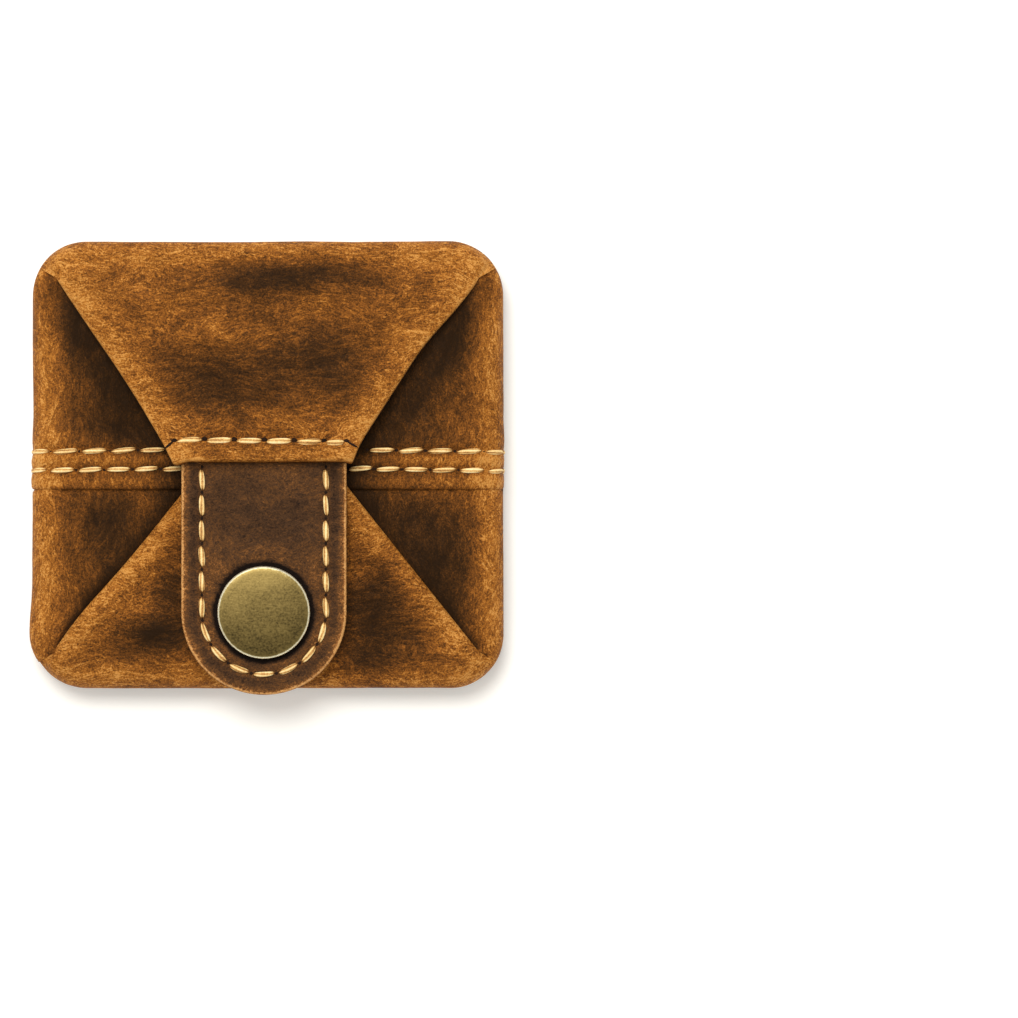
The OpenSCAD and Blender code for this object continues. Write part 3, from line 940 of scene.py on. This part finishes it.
def hole_marks(holes, surface, size):
    """Painted shade in the mouths of the needle holes: shallow domes in a dark material."""
    shapes, around, sunk = [], 14, 0.03
    dome = ((1.0, 0.0), (0.85, 0.10), (0.45, 0.16))
    for at, n in holes:
        ref = np.array([0, 1, 0]) if abs(n[1]) < 0.9 else np.array([1, 0, 0])
        _, side, up = frame_along(n, ref)
        centre = at + n * (surface(at, n) - sunk)
        verts = []
        for scale, height in dome:
            for k in range(around):
                t = 2 * pi * k / around
                verts.append(centre + scale * size * (side * cos(t) + up * sin(t)) + n * height)
        shapes.append((verts, ring_faces(len(dome), around), []))
    return gather(shapes)[:2]


def panel_surface(side):
    """Height of a panel's relief, with stitches pulled in where the wall turns down."""
    def surface(at, n):
        pulled = 0.35 * float(smooth(TOP - at[2], 0.6, 2.6))
        return float(panel_relief(side, np.array([at]))[0]) - pulled
    return surface


def tab_surface(at, n):
    """Height of the tab's relief."""
    x, y = at[0] - TAB_X, at[1] - TAB_END_Y
    edge = TAB_HALF - (abs(x) if y > 0 else hypot(x, y))
    return float(tab_relief(np.array([at]), np.array([edge]))[0])


def flat_surface(at, n):
    return 0.0


def thread_piece(name, rows, surface, thread, seed, material, nodes=()):
    """All the stitches of some rows."""
    shapes = [stitch_row(row, surface, *thread, seed + i) for i, row in enumerate(rows)]
    verts, faces, tones = gather(shapes)
    return settle(new_piece(name, verts, faces, material, tones), nodes)


def mark_piece(name, holes, surface, size, material):
    return settle(new_piece(name, *hole_marks(holes, surface, size), material))


def hem_crease_shade(surface, material):
    """Painted shade in the pinch from each end of the hem's row to the flap's edge, as a thin dark tube."""
    shapes = []
    for start, end in (((-15.7, 4.0), (-17.2, 2.75)), ((13.6, 3.85), (15.4, 2.95))):
        points = []
        for f in np.linspace(0, 1, 9):
            x, y = np.array(start) * (1 - f) + np.array(end) * f
            at = np.array([x, y, float(base_top("back", x, y))])
            points.append(at + UP * (surface(at, UP) + 0.03))
        shapes.append(stitch(points, [UP] * len(points), 0.2, 0))
    verts, faces, _ = gather(shapes)
    return settle(new_piece("hem_crease_shade", verts, faces, material))


# A thread's radius, the gap it leaves at each hole and its slant
SEAM_THREAD = (0.44, 0.34, -0.2)
HEM_THREAD = (0.55, 0.38, -0.16)
TAB_THREAD = (0.48, 0.4, -0.17)
TAB_INSIDE_THREAD = (0.3, 0.35, -0.1)
RIM_THREAD = (0.26, 0.3, -0.06)


def make_stitching(thread, dark):
    for side in SHORT_SIDES:
        surface = panel_surface(side)
        rows = [seam_row(side, row) for row in SEAM_ROWS]
        nodes = [side + "_seam_stitching"]
        blend_wall(thread_piece(side + "_seam_thread", rows, surface, SEAM_THREAD, 21, thread, nodes))
        blend_wall(mark_piece(side + "_seam_holes", HOLES[side], surface, 0.5, dark))
    surface = panel_surface("back")
    piece = thread_piece("hem_thread", [hem_row()], surface, HEM_THREAD, 31, thread, ["hem_stitching"])
    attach(piece, "flap")
    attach(mark_piece("hem_holes", HOLES["back"], surface, 0.6, dark), "flap")
    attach(hem_crease_shade(surface, dark), "flap")
    blend_tab(thread_piece("tab_thread", [tab_row()], tab_surface, TAB_THREAD, 41, thread, ["tab_stitching"]))
    blend_tab(mark_piece("tab_holes", TAB_HOLES, tab_surface, 0.45, dark))


def make_inside_stitching(thread):
    row = [tab_inside_row()]
    blend_tab(thread_piece("tab_thread_inside", row, flat_surface, TAB_INSIDE_THREAD, 51, thread))
    for side, body, seed in (("front", "front_gussets", 61), ("back", "back_gussets", 62),
                             ("left", "left_gusset", 71), ("right", "right_gusset", 72)):
        rows = gusset_rim_rows(side)
        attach(thread_piece(side + "_rim_thread", rows, flat_surface, RIM_THREAD, seed, thread), body)
    row = [front_rim_row()]
    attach(thread_piece("front_panel_rim_thread", row, flat_surface, RIM_THREAD, 81, thread), "front_panel")


# -------- materials

def linear(r, g, b):
    """An sRGB colour out of 255 as linear RGBA."""
    def one(v):
        v /= 255
        return v / 12.92 if v <= 0.04045 else ((v + 0.055) / 1.055) ** 2.4
    return one(r), one(g), one(b), 1


class Shader:
    """A short way to wire a procedural material."""

    def __init__(self, name):
        self.material = bpy.data.materials.new(name)
        self.material.use_nodes = True
        self.tree = self.material.node_tree
        self.tree.nodes.clear()

    def node(self, kind, **values):
        made = self.tree.nodes.new("ShaderNode" + kind)
        for key, value in values.items():
            if key in made.inputs:
                self.put(made.inputs[key], value)
            else:
                setattr(made, key, value)
        return made

    def put(self, socket, value):
        if isinstance(value, bpy.types.NodeSocket):
            self.tree.links.new(value, socket)
        else:
            socket.default_value = value

    def rest(self):
        """Each point's place in the shut purse, in millimetres."""
        return self.node("Attribute", attribute_name="rest").outputs["Vector"]

    def tone(self):
        return self.node("Attribute", attribute_name="tone").outputs["Fac"]

    def operate(self, kind, operation, values, clamp=False):
        made = self.node(kind, operation=operation)
        if clamp:
            made.use_clamp = True
        for socket, value in zip(made.inputs, values):
            self.put(socket, value)
        return made.outputs[0]

    def vector(self, operation, *values):
        return self.operate("VectorMath", operation, values)

    def stretched(self, vector, scale):
        return self.vector("MULTIPLY", vector, scale)

    def bent(self, vector, size, amount):
        """The places pushed about by a soft noise, so that what is drawn on them curves."""
        soft = self.node("TexNoise", Vector=vector, Scale=1 / size, Detail=1.0).outputs["Color"]
        push = self.vector("MULTIPLY_ADD", soft, (amount,) * 3, (-amount / 2,) * 3)
        return self.vector("ADD", vector, push)

    def math(self, operation, a, b=0.0, c=0.0, clamp=False):
        return self.operate("Math", operation, (a, b, c), clamp)

    def layered(self, value, layers, scale=1.0):
        """Adds layers, each as (layer, its middle, amount), to a value."""
        for layer, middle, amount in layers:
            value = self.math("MULTIPLY_ADD", self.math("SUBTRACT", layer, middle), amount * scale, value)
        return value

    def noise(self, vector, size, detail=3.0, distortion=0.0, rough=0.55):
        return self.node("TexNoise", Vector=vector, Scale=1 / size, Detail=detail, Distortion=distortion,
                         Roughness=rough).outputs["Fac"]

    def cells(self, vector, size):
        """Distance to the nearest line of a net of cells."""
        made = self.node("TexVoronoi", feature="DISTANCE_TO_EDGE", Scale=1 / size, Vector=vector)
        return made.outputs["Distance"]

    def creases(self, vector, size, sharpness):
        """Fine curling hairlines, 1 along each line."""
        away = self.math("ABSOLUTE", self.math("SUBTRACT", self.noise(vector, size, 4, 1.6, 0.6), 0.5))
        return self.math("SUBTRACT", 1.0, self.math("MULTIPLY", away, sharpness * 2.0), clamp=True)

    def ramp(self, value, stops):
        """Colours, in sRGB out of 255, at places along a value."""
        made = self.node("ValToRGB", Fac=value)
        elements = made.color_ramp.elements
        while len(elements) < len(stops):
            elements.new(0.5)
        for element, (place, colour) in zip(elements, stops):
            element.position, element.color = place, linear(*colour)
        return made.outputs["Color"]

    def finish(self, colour, roughness, height=None, depth=0.1, metallic=0.0, specular=0.5, glow=0.0):
        shader = self.node("BsdfPrincipled", Roughness=roughness, Metallic=metallic)
        for key, value in (("Base Color", colour), ("Emission Color", colour), ("Emission Strength", glow),
                           ("Specular IOR Level", specular)):
            self.put(shader.inputs[key], value)
        if height is not None:
            raised = self.node("Bump", Distance=depth * MM, Height=height)
            self.put(shader.inputs["Normal"], raised.outputs["Normal"])
        self.node("OutputMaterial", Surface=shader.outputs[0])
        return self.material


PULL_UP = [(0.0, (40, 23, 5)), (0.2, (68, 40, 12)), (0.4, (106, 62, 20)), (0.6, (144, 85, 29)),
           (0.8, (184, 115, 40)), (1.0, (216, 152, 76))]
TAB_HIDE = [(0.0, (24, 14, 8)), (0.3, (78, 52, 31)), (0.55, (110, 70, 34)), (0.8, (168, 108, 54)),
            (1.0, (222, 164, 98))]


def leather(name, ramp, along, contrast=1.0, seed=0.0):
    """Waxed pull-up hide. along is the direction its fine creases run in, as a stretch of each axis."""
    s = Shader(name)
    rest = s.vector("ADD", s.rest(), (seed, seed * 0.7, seed * 0.3))
    creased = s.stretched(s.bent(rest, 12, 6.5), along)
    patches = s.math("MULTIPLY_ADD", s.noise(rest, 12, 4, 0.6), 6.0, -2.5, clamp=True)
    clouds = s.noise(creased, 4.5, 5, 0.9, 0.62)
    fibres = s.noise(creased, 1.3, 6, 2.2, 0.72)
    flow = s.noise(s.stretched(creased, along), 0.42, 3, 1.4, 0.6)
    grain = s.noise(rest, 0.30, 2, 0.4, 0.7)
    coarse, fine = s.creases(creased, 3.2, 12), s.creases(creased, 1.4, 9)
    hairlines = s.creases(rest, 0.75, 5)
    waxed = s.layered(s.tone(), ((patches, 0.5, 0.1), (clouds, 0.5, 0.5)), contrast)
    wrinkled = s.layered(0.0, ((fibres, 0.5, 0.45), (grain, 0.5, 0.85), (flow, 0.5, 0.6), (coarse, 0.1, 0.26),
                               (fine, 0.15, 0.2), (hairlines, 0.42, 0.3)), contrast)
    strength = s.math("MULTIPLY_ADD", waxed, 1.1, 0.4, clamp=True)  # dark, waxy hide is smoother
    colour = s.ramp(s.math("MULTIPLY_ADD", wrinkled, strength, waxed), ramp)
    height = s.layered(0.0, ((clouds, 0, 1.2), (fibres, 0, 1.2), (grain, 0, 0.5), (coarse, 0, -0.12),
                             (fine, 0, -0.12)))
    return s.finish(colour, s.layered(0.5, [(fibres, 0, 0.25)]), height, 0.26, specular=0.09)


def lining_leather():
    s = Shader("lining_leather")
    rest = s.rest()
    clouds, fine, creases = s.noise(rest, 7, 4, 0.5), s.noise(rest, 0.8, 3), s.creases(rest, 3.0, 9)
    cracks = s.math("MULTIPLY_ADD", s.cells(rest, 1.6), -5.0, 1.0, clamp=True)
    value = s.layered(0.0, ((clouds, 0, 0.9), (fine, 0, 0.25), (cracks, 0, -0.05), (creases, 0, 0.12)))
    height = s.layered(0.0, ((fine, 0, 0.6), (cracks, 0, -0.35), (creases, 0, -0.6)))
    colour = s.ramp(value, [(0.2, (62, 31, 13)), (0.5, (102, 54, 24)), (0.85, (150, 86, 42))])
    return s.finish(colour, 0.55, height, 0.14, specular=0.4)


# Thread colours along its tone; the low end is the painted shade between the plies and at the stitches' ends.
CREAM_THREAD = [(0.05, (104, 64, 28)), (0.32, (192, 138, 72)), (0.58, (238, 198, 126)),
                (0.95, (255, 236, 182))]
BROWN_THREAD = [(0.05, (28, 16, 9)), (0.5, (66, 38, 20)), (0.95, (112, 72, 42))]


def waxed_thread(name, stops):
    s = Shader(name)
    fine, coarse = s.noise(s.rest(), 0.25, 3), s.noise(s.rest(), 3.0, 2)
    value = s.layered(s.tone(), ((fine, 0.5, 0.7), (coarse, 0.5, 0.6)))
    return s.finish(s.ramp(value, stops), 0.6, fine, 0.05, specular=0.25)


def painted_shade():
    # a dark material for painted shade: the needle holes' mouths and the hem's creases
    s = Shader("painted_shade")
    colour = s.ramp(s.noise(s.rest(), 0.5, 2), [(0.3, (20, 12, 8)), (0.7, (44, 27, 16))])
    return s.finish(colour, 0.8, specular=0.1)


def antique_brass():
    s = Shader("antique_brass")
    rest = s.rest()
    clouds, speckle = s.noise(rest, 5, 4, 0.6), s.noise(rest, 0.35, 3)
    brushed = s.noise(s.stretched(rest, (1, 9, 1)), 1.1, 3)
    # the tone carries the cap's painted rim highlight and painted reflection; the ramp's top stops colour
    # that highlight
    value = s.layered(s.math("MULTIPLY", s.tone(), 0.6),
                      ((clouds, 0.5, 0.25), (speckle, 0.5, 0.55), (brushed, 0.5, 0.2)))
    colour = s.ramp(value, [(0.0, (58, 48, 24)), (0.18, (104, 87, 46)), (0.36, (130, 110, 62)),
                            (0.6, (196, 180, 130)), (0.85, (250, 244, 214))])
    roughness = s.layered(0.3, [(speckle, 0, 0.25)])
    return s.finish(colour, roughness, s.math("ADD", speckle, brushed), 0.012, metallic=0.92)


def snap_steel():
    """Bright steel. It is on two of the CAD's own pieces too, so it reads the object's own places."""
    s = Shader("snap_steel")
    wear = s.noise(s.node("TexCoord").outputs["Object"], 0.6 * MM, 3)
    colour = s.ramp(wear, [(0.3, (150, 148, 142)), (0.7, (206, 203, 196))])
    return s.finish(colour, s.layered(0.2, [(wear, 0, 0.2)]), wear, 0.01, metallic=1.0)


# -------- the object

def make_walls(across, along, lining):
    wall_hide("front", "front_wall", "whole", across, ["front_panel_outer"])
    wall_hide("back", "flap_wall", "whole", across, ["flap_outer"])
    wall_lining("front", "front_wall_inside", lining, ["front_panel_lining"])
    wall_lining("back", "flap_wall_inside", lining, ["flap_lining"])
    for side in SHORT_SIDES:
        wall_hide(side, side + "_wall_front", "front_piece", along, [side + "_panel_front"])
        wall_hide(side, side + "_wall_rear", "rear_piece", along, [side + "_panel_rear"])
        wall_lining(side, side + "_wall_inside", lining, [side + "_panel_lining"])


def make_gussets(across, along, lining):
    for side, node, hide in (("front", "front_gussets", across), ("back", "back_gussets", across),
                             ("left", "left_gusset", along), ("right", "right_gusset", along)):
        gusset(side, side + "_corner_folds", node, hide, [node + "_outer"], False)
        gusset(side, side + "_corner_folds_inside", node, lining, [node + "_lining"], True)


def make_tab(hide, lining):
    strap = tab_sheet("tab_strap", 0.0, TAB_HIDE_T, 0.0, hide, False)
    settle(strap, ["tab_outer", "tab_root"])
    inside = tab_sheet("tab_strap_inside", TAB_HIDE_T + SKIN_GAP, TAB_LINING_T, 0.25, lining, True)
    settle(inside, ["tab_lining"])


hide_across = leather("hide_creased_across", PULL_UP, (0.45, 1.3, 1.0), 1.0, 3.0)
hide_along = leather("hide_creased_along", PULL_UP, (1.3, 0.5, 1.0), 0.9, 19.0)
tab_leather = leather("tab_leather", TAB_HIDE, (0.8, 1.2, 1.0), 0.8, 41.0)
lining_hide = lining_leather()

make_base(hide_along, lining_hide)
make_walls(hide_across, hide_along, lining_hide)
make_gussets(hide_across, hide_along, lining_hide)
make_tab(tab_leather, lining_hide)
make_snap(antique_brass(), snap_steel())
make_stitching(waxed_thread("waxed_thread", CREAM_THREAD), painted_shade())
make_inside_stitching(waxed_thread("brown_thread", BROWN_THREAD))


# -------- studio

def make_floor():
    half = 2.5
    corners = [(-half, -half, 0), (half, -half, 0), (half, half, 0), (-half, half, 0)]
    mesh = bpy.data.meshes.new("studio_floor")
    mesh.from_pydata(corners, [], [(0, 1, 2, 3)])
    mesh.materials.append(Shader("pale_floor").finish(linear(250, 248, 241), 0.9, specular=0.0, glow=0.2))
    floor = add_object("studio_floor", mesh)
    floor.location.z = -SKIN_GAP * MM


def make_key_light():
    data = bpy.data.lights.new("key", "AREA")
    data.shape, data.size, data.energy = "DISK", 0.52, 5.4
    light = add_object("key", data)
    light.location = (-0.12, 0.34, 0.72)
    light.rotation_mode = "QUATERNION"
    light.rotation_quaternion = (-light.location).to_track_quat("-Z", "Y")


def make_world():
    scene = bpy.context.scene
    scene.view_settings.view_transform = "Standard"
    scene.world = bpy.data.worlds.new("studio")
    scene.world.use_nodes = True
    background = scene.world.node_tree.nodes["Background"]
    background.inputs["Color"].default_value = (1, 1, 1, 1)
    background.inputs["Strength"].default_value = 0.62


def make_camera():
    """A long lens straight above. The purse stands left of its middle, as in the photograph."""
    above_tab = 1.49
    data = bpy.data.cameras.new("camera")
    data.sensor_width, data.lens = 36, 311.3
    data.clip_start, data.clip_end = 0.05, 20
    camera = add_object("camera", data)
    camera.location = (0.041, -0.0075, above_tab + TAB_TOP * MM)
    bpy.context.scene.camera = camera


make_floor()
make_world()
make_key_light()
make_camera()
